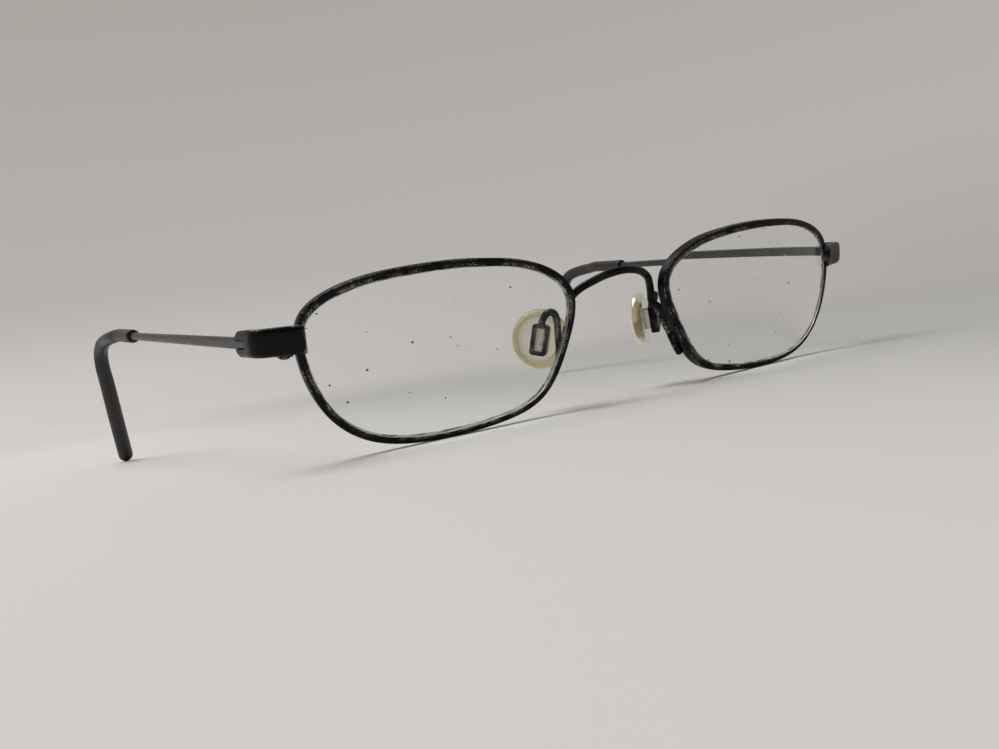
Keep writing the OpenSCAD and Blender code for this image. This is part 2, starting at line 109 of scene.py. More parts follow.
# %% [markdown]
# ## The table, the light and the camera
# The camera and the light come first, because every later choice of gloss and colour is judged by them.
# A cube of walls would show its edges in the shiny wire, so the room is a soft change of pale greys with
# direction, and the table is a wide disc that fades into the same colour before its edge. Behind the
# camera the room is darker, which shows only in reflections, so black lacquer stays black. One large
# soft lamp overhead draws the bright line along the top of each wire, and a faint one is at the side.

# %% Colours
def srgb(code):
    parts = [int(code[i : i + 2], 16) / 255 for i in (1, 3, 5)]
    line = [p / 12.92 if p <= 0.04045 else ((p + 0.055) / 1.055) ** 2.4 for p in parts]
    return (*line, 1.0)


HORIZON_LEFT = srgb("#D2CDCB")
HORIZON_RIGHT = srgb("#AEAAA8")
WALL = srgb("#B4B1AD")
CEILING = srgb("#ABA8A2")
BEHIND = srgb("#6A6866")
TABLE = srgb("#F6F4F2")
# Painted shade: the table is mixed towards this darker grey on its right side, standing in for light that falls
# from the left.
TABLE_PAINTED_SHADE = srgb("#CFCECD")
for name, shade in (("horizon left", HORIZON_LEFT), ("horizon right", HORIZON_RIGHT)):
    print(name, [round(v, 3) for v in shade[:3]])


# %% One helper for every shader node
SMOOTH = {"interpolation_type": "SMOOTHSTEP"}
TIMES = {"operation": "MULTIPLY"}


def add(tree, kind, links=None, **settings):
    made = tree.nodes.new("ShaderNode" + kind)
    for name, value in settings.items():
        setattr(made, name, value)
    for name, value in (links or {}).items():
        socket = made.inputs[name]
        if isinstance(value, bpy.types.NodeSocket):
            tree.links.new(value, socket)
        else:
            socket.default_value = value
    return made


def fresh_tree(name):
    material = bpy.data.materials.new(name)
    material.use_nodes = True
    material.node_tree.nodes.clear()
    return material, material.node_tree


# %% Colour where the table meets the room
def horizon(tree, way):
    side = add(tree, "SeparateXYZ", {0: way}).outputs["X"]
    share = add(tree, "MapRange", {"Value": side, "From Min": 0.0, "From Max": 0.8}).outputs["Result"]
    return add(tree, "Mix", {0: share, 6: HORIZON_LEFT, 7: HORIZON_RIGHT}, data_type="RGBA").outputs[2]


# %% Table and room
FADE_NEAR = 0.25
FADE_FAR = 1.1
DISC_R = 3.0
TABLE_DROP = 0.00001
WALL_UP = 0.13
CEILING_UP = 0.4
AHEAD = (0.493, 0.87, 0.0)


def table_top():
    material, tree = fresh_tree("matt_pale_table")
    place = add(tree, "TexCoord").outputs["Object"]
    far = add(tree, "VectorMath", {0: place}, operation="LENGTH").outputs["Value"]
    inverse = add(tree, "Math", {0: 1.0, 1: far}, operation="DIVIDE").outputs[0]
    ends = {"Value": inverse, "From Min": 1 / FADE_NEAR, "From Max": 1 / FADE_FAR}
    fade = add(tree, "MapRange", ends, **SMOOTH).outputs[0]
    across = add(tree, "SeparateXYZ", {0: place}).outputs["X"]
    # Painted shade: the table darkens from left to right across the glasses, standing in for light that falls from
    # the left.
    right = add(tree, "MapRange", {"Value": across, "From Min": -0.08, "From Max": 0.1}, **SMOOTH).outputs[0]
    pale = add(tree, "Mix", {0: right, 6: TABLE, 7: TABLE_PAINTED_SHADE}, data_type="RGBA").outputs[2]
    matt = add(tree, "BsdfPrincipled", {"Base Color": pale, "Roughness": 0.75, "Specular IOR Level": 0.15})
    outward = add(tree, "VectorMath", {0: place}, operation="NORMALIZE").outputs["Vector"]
    glow = add(tree, "Emission", {"Color": horizon(tree, outward), "Strength": 1.0})
    mixed = add(tree, "MixShader", {0: fade, 1: matt.outputs[0], 2: glow.outputs[0]})
    add(tree, "OutputMaterial", {"Surface": mixed.outputs[0]})
    return material


def make_table():
    bm = bmesh.new()
    bmesh.ops.create_circle(bm, cap_ends=True, segments=96, radius=DISC_R)
    mesh = bpy.data.meshes.new("table_disc")
    bm.to_mesh(mesh)
    bm.free()
    disc = bpy.data.objects.new("table_disc", mesh)
    disc.location.z = -TABLE_DROP
    disc.data.materials.append(table_top())
    bpy.context.scene.collection.objects.link(disc)
    disc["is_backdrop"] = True


def room_colours(tree):
    tree.nodes.clear()
    way = add(tree, "TexCoord").outputs["Generated"]
    up = add(tree, "SeparateXYZ", {0: way}).outputs["Z"]
    low = add(tree, "MapRange", {"Value": up, "From Min": 0.0, "From Max": WALL_UP}, **SMOOTH).outputs[0]
    ends = {"Value": up, "From Min": WALL_UP, "From Max": CEILING_UP}
    high = add(tree, "MapRange", ends, **SMOOTH).outputs[0]
    wall = add(tree, "Mix", {0: low, 6: horizon(tree, way), 7: WALL}, data_type="RGBA").outputs[2]
    upper = add(tree, "Mix", {0: high, 6: wall, 7: CEILING}, data_type="RGBA").outputs[2]
    across = add(tree, "VectorMath", {0: way, 1: AHEAD}, operation="DOT_PRODUCT").outputs["Value"]
    nearer = add(tree, "MapRange", {"Value": across, "From Min": 0.25, "From Max": -0.5}, **SMOOTH).outputs[0]
    seen = add(tree, "LightPath").outputs["Is Camera Ray"]
    unseen = add(tree, "Math", {0: 1.0, 1: seen}, operation="SUBTRACT").outputs[0]
    dark = add(tree, "Math", {0: nearer, 1: unseen}, **TIMES).outputs[0]
    colour = add(tree, "Mix", {0: dark, 6: upper, 7: BEHIND}, data_type="RGBA").outputs[2]
    light = add(tree, "Background", {"Color": colour, "Strength": 1.0})
    add(tree, "OutputWorld", {"Surface": light.outputs[0]})


make_table()
world = bpy.data.worlds.new("pale_room")
bpy.context.scene.world = world
world.use_nodes = True
room_colours(world.node_tree)
bpy.context.scene.view_settings.view_transform = "Standard"


# %% Lamps
def soft_lamp(name, place, aim, size, watts):
    data = bpy.data.lights.new(name, "AREA")
    data.shape = "DISK"
    data.size = size
    data.energy = watts
    lamp = bpy.data.objects.new(name, data)
    lamp.location = place
    lamp.rotation_mode = "QUATERNION"
    lamp.rotation_quaternion = (Vector(aim) - Vector(place)).to_track_quat("-Z", "Y")
    bpy.context.scene.collection.objects.link(lamp)


soft_lamp("overhead_soft", (-0.35, 0.35, 1.15), (0, 0, 0), 0.9, 7.5)
soft_lamp("side_soft", (-0.9, -0.25, 0.55), (0, 0, 0.02), 0.5, 0.45)

# %% Camera
CAMERA_AT = (-101.2, -134.09, 24.99)
CAMERA_WAY = Vector((0.4815, 0.8493, -0.2165))
CAMERA_UP = Vector((0.1718, 0.1508, 0.9735))
CAMERA_MM = 34.23


def make_camera():
    data = bpy.data.cameras.new("photo_view")
    data.sensor_width = 36
    data.lens = CAMERA_MM
    data.clip_start = 0.005
    data.clip_end = 20
    camera = bpy.data.objects.new("photo_view", data)
    turn = STAND.to_3x3()
    back = -(turn @ CAMERA_WAY).normalized()
    right = (turn @ CAMERA_UP).cross(back).normalized()
    up = back.cross(right)
    axes = Matrix((right, up, back)).transposed()
    camera.matrix_world = Matrix.Translation(placed(CAMERA_AT)) @ axes.to_4x4()
    bpy.context.scene.collection.objects.link(camera)
    bpy.context.scene.camera = camera


make_camera()
print("camera at", [round(v * 1000) for v in bpy.context.scene.camera.location], "mm")

# %% [markdown]
# ## Curves of the drawing
# A lens outline is a smooth closed curve without corners. A pull of four neighbouring points gives one
# with only fourteen points to choose. Wires pass exactly through their points instead, so they use a
# curve that goes through them. Both are finer here than in the solids, so no facet shows.

# %% The lens outline
OUTLINE = [(1.01, 0.09), (1.01, 0.67), (0.62, 0.93), (0.29, 0.99), (-0.08, 1.01)]
OUTLINE += [(-0.37, 0.97), (-0.71, 0.89), (-1.07, 0.52), (-0.93, -0.12), (-0.74, -0.8)]
OUTLINE += [(-0.39, -0.95), (0.09, -1.02), (0.58, -0.97), (0.88, -0.57)]
SPANS = len(OUTLINE)
APEX_UP = 1.5


def pull(t):
    w = 1 - t
    return (w**3 / 6, (3 * t**3 - 6 * t * t + 4) / 6, (-3 * t**3 + 3 * t * t + 3 * t + 1) / 6, t**3 / 6)


def lean(t):
    return (-((1 - t) ** 2) / 2, (9 * t * t - 12 * t) / 6, (-9 * t * t + 6 * t + 3) / 6, t * t / 2)


def outline_mix(s, weights):
    first = math.floor(s)
    found = Vector((0, 0))
    for k, weight in enumerate(weights(s - first)):
        x, y = OUTLINE[(first - 1 + k) % SPANS]
        found += Vector((x * LENS_W / 2, y * LENS_H / 2)) * weight
    return found


def edge(s):
    return outline_mix(s, pull)


def edge_out(s):
    way = outline_mix(s, lean).normalized()
    return Vector((way.y, -way.x))


def base_sag(p):
    return BASE_R - math.sqrt(BASE_R**2 - p.x**2 - (p.y - APEX_UP) ** 2)


def eye(u, v, y):
    c, s = math.cos(RIM_WRAP), math.sin(RIM_WRAP)
    return Vector((EYE_X + u * c - y * s, u * s + y * c, EYE_Z + v))


def rim_at(s, out, deep):
    p = edge(s)
    q = p + edge_out(s) * out
    return eye(q.x, q.y, base_sag(p) + deep)


print("outline height", round(edge(3.5).y - edge(11.5).y, 2), "mm")


# %% Wires and skins
def through(points, count):
    pts = [Vector(p) for p in points]
    pts = [2 * pts[0] - pts[1]] + pts + [2 * pts[-1] - pts[-2]]
    found = []
    for i in range(1, len(pts) - 2):
        a, b, c, d = pts[i - 1 : i + 3]
        for k in range(count):
            t = k / count
            curve = 2 * b + (c - a) * t + (2 * a - 5 * b + 4 * c - d) * t * t
            found.append((curve + (3 * b - a - 3 * c + d) * t**3) / 2)
    return found + [pts[-2]]


def way_at(path, i):
    return (path[min(i + 1, len(path) - 1)] - path[max(i - 1, 0)]).normalized()


def ring(point, way, up, wide, high, count, square=2.0):
    side = Vector(up).cross(way).normalized()
    top = way.cross(side)
    found = []
    for k in range(count):
        a = 2 * math.pi * k / count
        c, s = math.cos(a), math.sin(a)
        u = math.copysign(abs(c) ** (2 / square), c) * wide
        v = math.copysign(abs(s) ** (2 / square), s) * high
        found.append(point + side * u + top * v)
    return found


def skin(bm, rings, caps=True, finish=0):
    size = len(rings[0])
    rows = [[bm.verts.new(p) for p in r] for r in rings]
    for a, b in zip(rows, rows[1:]):
        for j in range(size):
            k = (j + 1) % size
            bm.faces.new((a[j], a[k], b[k], b[j])).material_index = finish
    if caps:
        bm.faces.new(rows[0][::-1]).material_index = finish
        bm.faces.new(rows[-1]).material_index = finish
    return rows


DOME_STEPS = 5


def wire_rings(path, radius, up, count):
    rings = []
    last = len(path) - 1
    for end, sign in ((0, -1), (last, 1)):
        r, way = radius(end), way_at(path, end)
        turns = [math.pi / 2 * k / DOME_STEPS for k in range(1, DOME_STEPS)]
        dome = [(r * math.sin(a), r * math.cos(a)) for a in turns]
        cap = [ring(path[end] + way * sign * x, way, up, y, y, count) for x, y in dome]
        rings.append(cap[::-1] if sign < 0 else cap)
    body = [ring(path[i], way_at(path, i), up, radius(i), radius(i), count) for i in range(last + 1)]
    return rings[0] + body + rings[1]


# %% [markdown]
# ## From a mesh to a piece
# Every piece needs the same last steps: outward faces, smooth shading that stays crisp at real edges, a
# finish, a body to ride on and the solid that it stands for. Painted metal first wears on its edges, so
# the sharpness of each point is stored with it, and the lacquer reads that to know where to thin out.

# %% Finishing a piece
FINISH = {}
CRISP = math.radians(32)
FULL_EDGE = math.radians(24)


def mark_edges(bm, wear):
    layer = bm.verts.layers.float.new("edge")
    for v in bm.verts:
        turns = [e.calc_face_angle(0) for e in v.link_edges]
        v[layer] = wear * min(1.0, max(turns, default=0) / FULL_EDGE)


def make_piece(name, bm, nodes, body, slots, wear=1.0):
    bmesh.ops.recalc_face_normals(bm, faces=bm.faces)
    mark_edges(bm, wear)
    mesh = bpy.data.meshes.new(name)
    for face in bm.faces:
        face.smooth = True
    bm.to_mesh(mesh)
    bm.free()
    mesh.set_sharp_from_angle(angle=CRISP)
    made = bpy.data.objects.new(name, mesh)
    bpy.context.scene.collection.objects.link(made)
    for slot in slots:
        mesh.materials.append(FINISH[slot])
    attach(made, body)
    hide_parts(*nodes)
    return made


def stand_up(bm, left):
    for v in bm.verts:
        v.co = placed(v.co, left)


# %% Rounding the edges of a small solid
ROUND_STEPS = 3


def rounded(node, width):
    source = frame["nodes"][node]
    bm = bmesh.new()
    bm.from_mesh(source.data)
    bmesh.ops.remove_doubles(bm, verts=bm.verts, dist=2e-6)
    bmesh.ops.dissolve_limit(bm, angle_limit=math.radians(0.8), verts=bm.verts, edges=bm.edges)
    mesh = bpy.data.meshes.new(node + "_blank")
    bm.to_mesh(mesh)
    bm.free()
    blank = bpy.data.objects.new(node + "_blank", mesh)
    bpy.context.scene.collection.objects.link(blank)
    bevel = blank.modifiers.new("rounding", "BEVEL")
    bevel.width = width * MM
    bevel.segments = ROUND_STEPS
    bevel.limit_method = "ANGLE"
    bevel.angle_limit = CRISP
    graph = bpy.context.evaluated_depsgraph_get()
    bm = bmesh.new()
    bm.from_object(blank, graph)
    bpy.data.objects.remove(blank)
    return bm


print("helpers ready")

# %% [markdown]
# ## Black lacquer on nickel silver wire
# The wire parts are nickel silver, brazed together and then coated with a baked black lacquer. Lacquer
# is a thin clear-edged film: very dark, semi-gloss, with a faint orange-peel wave, and it thins to
# grey metal on edges and where the pair is held. A flat black would lose all of that, so the colour,
# the gloss and the metal all follow the stored sharpness and two noises. Wave length 0.5 mm, rub
# patches 3 mm and dust 0.1 mm across, drawn as 0.2 mm so that it shows.

# %% Lacquer
NOISE = {"From Min": 0.3, "From Max": 0.7}


def millimetres(tree):
    place = add(tree, "TexCoord").outputs["Object"]
    return add(tree, "VectorMath", {0: place, "Scale": 1 / MM}, operation="SCALE").outputs["Vector"]


def black_lacquer():
    material, tree = fresh_tree("baked_black_lacquer")
    mm = millimetres(tree)
    peel = add(tree, "TexNoise", {"Vector": mm, "Scale": 2.0, "Detail": 2.0}).outputs["Fac"]
    rubs = add(tree, "TexNoise", {"Vector": mm, "Scale": 0.33, "Detail": 4.0}).outputs["Fac"]
    fine = {"Vector": mm, "Scale": 3.3, "Detail": 5.0, "Roughness": 0.7}
    grit = add(tree, "TexNoise", fine).outputs["Fac"]
    sharp = add(tree, "Attribute", attribute_name="edge").outputs["Fac"]
    edges = add(tree, "MapRange", {"Value": sharp, "From Min": 0.45, "From Max": 1.0}, **SMOOTH).outputs[0]
    rubbed = add(tree, "MapRange", {"Value": rubs, "From Min": 0.44, "From Max": 0.6}, **SMOOTH).outputs[0]
    gritty = add(tree, "MapRange", {"Value": grit, "From Min": 0.44, "From Max": 0.58}, **SMOOTH).outputs[0]
    thin = add(tree, "Math", {0: edges, 1: rubbed}, **TIMES).outputs[0]
    worn = add(tree, "Math", {0: thin, 1: gritty}, **TIMES).outputs[0]
    specks = add(tree, "TexVoronoi", {"Vector": mm, "Scale": 0.9, "Randomness": 1.0}).outputs
    ends = {"Value": specks["Distance"], "From Min": 0.13, "From Max": 0.06}
    near = add(tree, "MapRange", ends, **SMOOTH).outputs[0]
    chosen = add(tree, "SeparateColor", {0: specks["Color"]}).outputs[0]
    upward = add(tree, "SeparateXYZ", {0: add(tree, "NewGeometry").outputs["Normal"]}).outputs["Z"]
    few = add(tree, "MapRange", {"Value": chosen, "From Min": 0.55, "From Max": 0.6}, **SMOOTH).outputs[0]
    level = add(tree, "MapRange", {"Value": upward, "From Min": 0.2, "From Max": 0.7}, **SMOOTH).outputs[0]
    lying = add(tree, "Math", {0: few, 1: level}, **TIMES).outputs[0]
    dusty = add(tree, "Math", {0: near, 1: lying}, **TIMES).outputs[0]
    black = add(tree, "Mix", {0: rubs, 6: srgb("#070708"), 7: srgb("#0D0D0E")}, data_type="RGBA").outputs[2]
    metal = add(tree, "Mix", {0: worn, 6: black, 7: srgb("#A5A29B")}, data_type="RGBA").outputs[2]
    colour = add(tree, "Mix", {0: dusty, 6: metal, 7: srgb("#8F8C88")}, data_type="RGBA").outputs[2]
    gloss = add(tree, "MapRange", {"Value": rubs, "To Min": 0.24, "To Max": 0.4, **NOISE}).outputs[0]
    wave = add(tree, "Bump", {"Height": peel, "Strength": 0.25, "Distance": 0.00002}).outputs["Normal"]
    links = {
        "Base Color": colour,
        "Metallic": worn,
        "Roughness": gloss,
        "Normal": wave,
        "Specular IOR Level": 0.13,
    }
    body = add(tree, "BsdfPrincipled", links).outputs[0]
    add(tree, "OutputMaterial", {"Surface": body})
    return material


FINISH["black_metal"] = black_lacquer()

# %% [markdown]
# ## Dark grey satin lacquer on the temple bars
# The bars are thin flat wires with a lighter, gunmetal coat: a metallic lacquer with a satin sheen. It
# scatters along the length of the bar, because the wire was drawn and polished lengthwise, so its grain
# is a noise stretched thirty times along Y. Handling has left small bright flecks about 0.3 mm across.

# %% Gunmetal
def gunmetal():
    material, tree = fresh_tree("gunmetal_satin_lacquer")
    mm = millimetres(tree)
    drawn = add(tree, "VectorMath", {0: mm, 1: (6.0, 0.2, 6.0)}, operation="MULTIPLY").outputs[0]
    grain = add(tree, "TexNoise", {"Vector": drawn, "Scale": 1.0, "Detail": 3.0}).outputs["Fac"]
    patches = add(tree, "TexNoise", {"Vector": mm, "Scale": 0.22, "Detail": 3.0}).outputs["Fac"]
    flecks = add(tree, "TexVoronoi", {"Vector": mm, "Scale": 0.7, "Randomness": 1.0}).outputs
    chosen = add(tree, "SeparateColor", {0: flecks["Color"]}).outputs[0]
    ends = {"Value": flecks["Distance"], "From Min": 0.16, "From Max": 0.08}
    near = add(tree, "MapRange", ends, **SMOOTH).outputs[0]
    few = add(tree, "MapRange", {"Value": chosen, "From Min": 0.7, "From Max": 0.75}, **SMOOTH).outputs[0]
    bright = add(tree, "Math", {0: near, 1: few}, **TIMES).outputs[0]
    greys = {0: patches, 6: srgb("#3E4040"), 7: srgb("#525453")}
    base = add(tree, "Mix", greys, data_type="RGBA").outputs[2]
    colour = add(tree, "Mix", {0: bright, 6: base, 7: srgb("#B9B9B5")}, data_type="RGBA").outputs[2]
    gloss = add(tree, "MapRange", {"Value": grain, "To Min": 0.3, "To Max": 0.46, **NOISE}).outputs[0]
    wave = add(tree, "Bump", {"Height": grain, "Strength": 0.3, "Distance": 0.00001}).outputs["Normal"]
    links = {"Base Color": colour, "Metallic": 1.0, "Roughness": gloss, "Normal": wave}
    body = add(tree, "BsdfPrincipled", links).outputs[0]
    add(tree, "OutputMaterial", {"Surface": body})
    return material


FINISH["gunmetal"] = gunmetal()

# %% [markdown]
# ## Black acetate tips
# The tips are cellulose acetate, heated and pushed over the wire, then tumbled until they shine softly.
# Years behind an ear leave them duller in patches, with fine scuffs. Acetate has an index of 1.48, and
# the tumbling leaves a roughness near 0.4.

# %% Acetate
def acetate():
    material, tree = fresh_tree("tumbled_black_acetate")
    mm = millimetres(tree)
    patches = add(tree, "TexNoise", {"Vector": mm, "Scale": 0.25, "Detail": 4.0}).outputs["Fac"]
    curly = {"Vector": mm, "Scale": 4.0, "Detail": 4.0, "Distortion": 0.6}
    scuffs = add(tree, "TexNoise", curly).outputs["Fac"]
    blacks = {0: patches, 6: srgb("#0E0D0D"), 7: srgb("#191817")}
    colour = add(tree, "Mix", blacks, data_type="RGBA").outputs[2]
    gloss = add(tree, "MapRange", {"Value": patches, "To Min": 0.34, "To Max": 0.5, **NOISE}).outputs[0]
    wave = add(tree, "Bump", {"Height": scuffs, "Strength": 0.2, "Distance": 0.00002}).outputs["Normal"]
    links = {"Base Color": colour, "Roughness": gloss, "Normal": wave, "IOR": 1.48}
    body = add(tree, "BsdfPrincipled", links).outputs[0]
    add(tree, "OutputMaterial", {"Surface": body})
    return material


FINISH["tip"] = acetate()

# %% [markdown]
# ## Turned steel screws
# The screws are turned from steel and left dark. Turning leaves rings round the axis, too fine to show
# one by one, so they are a light noise in the gloss.

# %% Screw steel
def screw_steel():
    material, tree = fresh_tree("turned_dark_steel")
    mm = millimetres(tree)
    marks = add(tree, "TexNoise", {"Vector": mm, "Scale": 5.0, "Detail": 3.0}).outputs["Fac"]
    greys = {0: marks, 6: srgb("#4B4A48"), 7: srgb("#7A7875")}
    colour = add(tree, "Mix", greys, data_type="RGBA").outputs[2]
    gloss = add(tree, "MapRange", {"Value": marks, "To Min": 0.25, "To Max": 0.42, **NOISE}).outputs[0]
    links = {"Base Color": colour, "Metallic": 1.0, "Roughness": gloss}
    body = add(tree, "BsdfPrincipled", links).outputs[0]
    add(tree, "OutputMaterial", {"Surface": body})
    return material


FINISH["screw"] = screw_steel()

# %% [markdown]
# ## Lens resin
# The lenses are cast allyl resin with an index of 1.50, polished on both faces and ground on the edge.
# Clear material needs a real solid with true curves, so that it bends what lies behind it. Light from
# the lamps would stop at such a solid, so its shadow rays pass straight through. The ground edge is rough,
# with light and dark lines, partly grinding marks and partly painted reflection. An antireflection coat
# weakens the reflections, and dust specks of 0.1 to 0.4 mm and a few fine hairs lie on the faces.

# %% Lens finishes
COAT = srgb("#7F8C86")
HAIR_THIN = 0.0011


def for_lamps(tree, surface, tint):
    shadow = add(tree, "LightPath").outputs["Is Shadow Ray"]
    clear = add(tree, "BsdfTransparent", {"Color": tint})
    return add(tree, "MixShader", {0: shadow, 1: surface, 2: clear.outputs[0]}).outputs[0]


def lens_resin():
    material, tree = fresh_tree("polished_lens_resin")
    mm = millimetres(tree)
    specks = add(tree, "TexVoronoi", {"Vector": mm, "Scale": 0.45, "Randomness": 1.0}).outputs
    size = add(tree, "SeparateColor", {0: specks["Color"]}).outputs
    reach = add(tree, "MapRange", {"Value": size[1], "To Min": 0.03, "To Max": 0.1}).outputs["Result"]
    inside = add(tree, "Math", {0: specks["Distance"], 1: reach}, operation="LESS_THAN").outputs[0]
    few = add(tree, "MapRange", {"Value": size[0], "From Min": 0.45, "From Max": 0.47}, **SMOOTH).outputs[0]
    dust = add(tree, "Math", {0: inside, 1: few}, **TIMES).outputs[0]
    strands = add(tree, "TexNoise", {"Vector": mm, "Scale": 0.16, "Detail": 1.0}).outputs["Fac"]
    level = add(tree, "Math", {0: strands, 1: 0.52}, operation="SUBTRACT").outputs[0]
    off = add(tree, "Math", {0: level}, operation="ABSOLUTE").outputs[0]
    hair = add(tree, "Math", {0: off, 1: HAIR_THIN}, operation="LESS_THAN").outputs[0]
    where = add(tree, "TexNoise", {"Vector": mm, "Scale": 0.3, "Detail": 0.0}).outputs["Fac"]
    some = add(tree, "MapRange", {"Value": where, "From Min": 0.6, "From Max": 0.63}, **SMOOTH).outputs[0]
    hair = add(tree, "Math", {0: hair, 1: some}, **TIMES).outputs[0]
    smears = add(tree, "TexNoise", {"Vector": mm, "Scale": 0.15, "Detail": 5.0}).outputs["Fac"]
    faint = add(tree, "Math", {0: hair, 1: 0.35}, **TIMES).outputs[0]
    marks = add(tree, "Math", {0: dust, 1: faint}, operation="MAXIMUM").outputs[0]
    clear = add(tree, "Math", {0: 1.0, 1: marks}, operation="SUBTRACT").outputs[0]
    smeared = {"Value": smears, "From Min": 0.5, "From Max": 0.75, "To Min": 0.0, "To Max": 0.03}
    gloss = add(tree, "MapRange", smeared).outputs[0]
    colour = add(tree, "Mix", {0: dust, 6: srgb("#FBFCFB"), 7: srgb("#6B6965")}, data_type="RGBA").outputs[2]
    links = {
        "Base Color": colour,
        "Transmission Weight": clear,
        "Roughness": gloss,
        "IOR": 1.5,
        "Specular Tint": COAT,
    }
    body = add(tree, "BsdfPrincipled", links).outputs[0]
    add(tree, "OutputMaterial", {"Surface": for_lamps(tree, body, srgb("#F2F3F2"))})
    return material


def lens_ground():
    material, tree = fresh_tree("ground_lens_edge")
    mm = millimetres(tree)
    along = add(tree, "VectorMath", {0: mm, 1: (0.25, 3.5, 0.25)}, operation="MULTIPLY").outputs[0]
    marks = add(tree, "TexNoise", {"Vector": along, "Scale": 1.0, "Detail": 3.0}).outputs["Fac"]
    # The light and dark bands round the edge are partly grinding marks and partly painted reflection of the light
    # that the edge catches.
    grinding_and_painted_reflection = add(tree, "MapRange", {"Value": marks, "From Min": 0.4, "From Max": 0.6}, **SMOOTH).outputs[0]
    greys = {0: grinding_and_painted_reflection, 6: srgb("#3C3C3C"), 7: srgb("#D2D2D0")}
    colour = add(tree, "Mix", greys, data_type="RGBA").outputs[2]
    links = {"Base Color": colour, "Transmission Weight": 0.4, "Roughness": 0.4, "IOR": 1.5}
    body = add(tree, "BsdfPrincipled", links).outputs[0]
    add(tree, "OutputMaterial", {"Surface": for_lamps(tree, body, srgb("#D0D0D0"))})
    return material


FINISH["lens"] = lens_resin()
FINISH["lens_ground"] = lens_ground()

# %% [markdown]
# ## Soft pads and their plugs
# The pads are moulded silicone, soft and once clear, that skin oil has turned yellow. Inside each one
# sits the plate of a harder clear plug. Silicone has an index near 1.41 and a slightly hazy skin. The
# oil sits deepest at the rim, so the tint grows from the middle outwards. The pad is a real solid with
# a pocket, so the plug shows through it as it does on the real one.

# %% Silicone and plug
def silicone():
    material, tree = fresh_tree("aged_clear_silicone")
    mm = millimetres(tree)
    aged = add(tree, "TexNoise", {"Vector": mm, "Scale": 0.3, "Detail": 3.0}).outputs["Fac"]
    skin_marks = add(tree, "TexNoise", {"Vector": mm, "Scale": 1.6, "Detail": 4.0}).outputs["Fac"]
    middle = add(tree, "Mix", {0: aged, 6: srgb("#F6F5EF"), 7: srgb("#F1EFE2")}, data_type="RGBA").outputs[2]
    oiled = add(tree, "Attribute", attribute_name="outer").outputs["Fac"]
    colour = add(tree, "Mix", {0: oiled, 6: middle, 7: srgb("#E8DBA2")}, data_type="RGBA").outputs[2]
    through_it = add(tree, "MapRange", {"Value": oiled, "To Min": 0.9, "To Max": 0.55}).outputs["Result"]
    gloss = add(tree, "MapRange", {"Value": skin_marks, "To Min": 0.08, "To Max": 0.2, **NOISE}).outputs[0]
    wave = add(tree, "Bump", {"Height": skin_marks, "Strength": 0.25, "Distance": 0.00003}).outputs["Normal"]
    links = {
        "Base Color": colour,
        "Transmission Weight": through_it,
        "Roughness": gloss,
        "Normal": wave,
        "IOR": 1.41,
        "Specular Tint": srgb("#8C8C84"),
    }
    body = add(tree, "BsdfPrincipled", links).outputs[0]
    depth = add(tree, "VolumeAbsorption", {"Color": (0.88, 0.83, 0.36, 1), "Density": 50.0}).outputs[0]
    add(tree, "OutputMaterial", {"Surface": for_lamps(tree, body, srgb("#D8D0AC")), "Volume": depth})
    return material


def plug():
    material, tree = fresh_tree("moulded_clear_plug")
    mm = millimetres(tree)
    haze = add(tree, "TexNoise", {"Vector": mm, "Scale": 0.8, "Detail": 3.0}).outputs["Fac"]
    colour = add(tree, "Mix", {0: haze, 6: srgb("#F0EFE8"), 7: srgb("#E4E1D2")}, data_type="RGBA").outputs[2]
    links = {"Base Color": colour, "Transmission Weight": 0.85, "Roughness": 0.14, "IOR": 1.49}
    body = add(tree, "BsdfPrincipled", links).outputs[0]
    add(tree, "OutputMaterial", {"Surface": for_lamps(tree, body, srgb("#CFCBB5"))})
    return material


FINISH["pad"] = silicone()
FINISH["stem"] = plug()
print("finishes:", sorted(FINISH))

# %% [markdown]
# ## Rims
# A rim is a grooved strip, rolled round the lens and left open at the temple side, where the closing
# block draws its two ends together. It could be a bent curve with a bevel object, but the strip has to
# follow the lens both round its outline and back along its curve, so its section is swept point by
# point. The section has a slightly crowned outer face, rounded corners and a sharp groove.

# %% Rim section and sweep
SPLIT_AT = 0.51
SPLIT_GAP = 0.3
CORNER_R = 0.33
RIM_STEPS = 20


def rim_section():
    half = RIM_DEEP / 2
    turn = [math.pi / 2 * k / 5 for k in range(6)]
    outer, r = RIM_OUT - 0.01, CORNER_R
    front = [(outer - r + r * math.sin(a), -half + r * (1 - math.cos(a))) for a in turn]
    rear = [(x, -y) for x, y in reversed(front)]
    lip = [(-GROOVE, half - 0.09), (-GROOVE, GROOVE), (0.04, 0), (-GROOVE, -GROOVE)]
    lip.append((-GROOVE, -half + 0.09))
    return front + [(RIM_OUT, 0)] + rear + [(-GROOVE + 0.07, half)] + lip + [(-GROOVE + 0.07, -half)]


def make_rim(side):
    left = side == "left"
    cut = SPLIT_GAP / 2 / (edge(SPLIT_AT + 0.5) - edge(SPLIT_AT - 0.5)).length
    count = SPANS * RIM_STEPS
    section = rim_section()
    rings = []
    for i in range(count + 1):
        s = SPLIT_AT + cut + (SPANS - 2 * cut) * i / count
        rings.append([rim_at(s, out, deep) for out, deep in section])
    bm = bmesh.new()
    skin(bm, rings)
    stand_up(bm, left)
    return make_piece(side + "_rim_wire", bm, [side + "_rim"], "front", ["black_metal"])


for side in SIDES:
    made = make_rim(side)
    print(made.name, len(made.data.vertices), "points")

# %% [markdown]
# ## Lenses
# Each lens is a weak plus meniscus: more curved in front than behind, so it is thick in the
# middle. The two polished faces are parts of spheres, laid out in rings that shrink from the outline to
# the middle. The edge is ground to a ridge that sits in the rim's groove, with small safety bevels.

